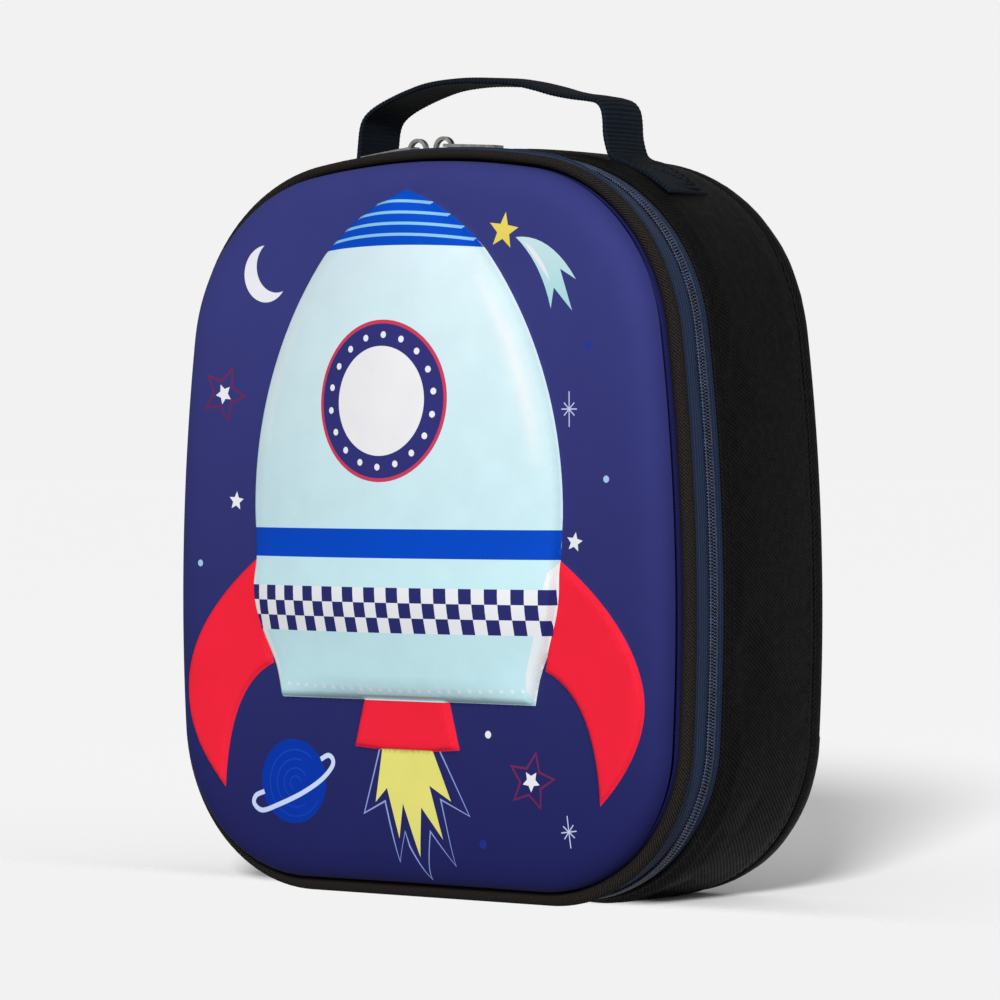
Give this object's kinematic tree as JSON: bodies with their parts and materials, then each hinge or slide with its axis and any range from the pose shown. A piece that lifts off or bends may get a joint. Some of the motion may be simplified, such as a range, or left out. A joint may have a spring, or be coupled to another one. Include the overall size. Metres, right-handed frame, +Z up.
{
  "type": "insulated lunch bag",
  "caption": "Upright insulated lunch bag: moulded front lid on a bottom fabric hinge, two-way coil zip with pull tabs, black gusset and back, webbing carry handle.",
  "frame": {"origin": "middle of the footprint, on the surface that the bag stands on", "axes": "+X to the right as seen from the front, the printed front faces -Y, +Z up"},
  "size_m": [0.224, 0.1084, 0.2823],
  "materials": {
    "printed_front": "printed polyester bonded to moulded EVA foam, satin",
    "piping_twill": "charcoal twill bias binding",
    "filler_cord": "white foam cord",
    "zip_tape": "navy knitted polyester tape",
    "zip_coil": "navy nylon coil",
    "body_fabric": "black 600 denier polyester",
    "foam": "white closed-cell foam",
    "liner": "silver-grey welded PEVA film",
    "binding": "black woven binding",
    "webbing": "very dark navy polypropylene webbing",
    "thread": "navy polyester thread",
    "nickel": "nickel-plated zinc die casting",
    "stop_metal": "pressed metal"
  },
  "bodies": {
    "bag_body": {"gusset": "body_fabric", "back_panel": "body_fabric", "gusset_foam": "foam", "back_foam": "foam", "gusset_liner": "liner", "back_liner": "liner", "body_zip_tape": "zip_tape", "body_coil": "zip_coil", "body_zip_stops": "stop_metal", "body_binding": "binding", "back_binding": "binding", "hinge_strip": "binding", "handle_feet": "webbing", "handle_bar_tacks": "thread", "handle_patches": "binding"},
    "lid": {"front_panel": "printed_front", "front_piping": "piping_twill", "piping_filler": "filler_cord", "lid_zip_tape": "zip_tape", "lid_coil": "zip_coil", "lid_zip_stops": "stop_metal", "lid_liner": "liner", "lid_binding": "binding"},
    "left_slider": {"slider_left": "nickel", "crown_left": "nickel"},
    "right_slider": {"slider_right": "nickel", "crown_right": "nickel"},
    "left_pull": {"pull_left": "nickel"},
    "right_pull": {"pull_right": "nickel"},
    "handle": {"handle_arch": "webbing"}
  },
  "joints": [
    {"name": "lid_hinge", "type": "hinge", "parent": "bag_body", "child": "lid", "pos_m": [0, -0.01405, 0.0009], "axis": [1, 0, 0], "range_deg": [0, 110]},
    {"name": "left_slider_run", "type": "hinge", "parent": "bag_body", "child": "left_slider", "pos_m": [0, -0.01405, -0.0465], "axis": [0, -1, 0], "range_deg": [0, 5.1]},
    {"name": "right_slider_run", "type": "hinge", "parent": "bag_body", "child": "right_slider", "pos_m": [0, -0.01405, -0.0465], "axis": [0, 1, 0], "range_deg": [0, 8.7]},
    {"name": "left_pull_flip", "type": "hinge", "parent": "left_slider", "child": "left_pull", "pos_m": [-0.01714, -0.01405, 0.25777], "axis": [0, 1, 0], "range_deg": [0, 110]},
    {"name": "right_pull_flip", "type": "hinge", "parent": "right_slider", "child": "right_pull", "pos_m": [-0.00186, -0.01405, 0.25825], "axis": [0, -1, 0], "range_deg": [0, 110]},
    {"name": "handle_fold", "type": "hinge", "parent": "bag_body", "child": "handle", "pos_m": [0, 0.01275, 0.25431], "axis": [1, 0, 0], "range_deg": [-30, 30], "stiffness_Nm_per_rad": 0.02}
  ]
}
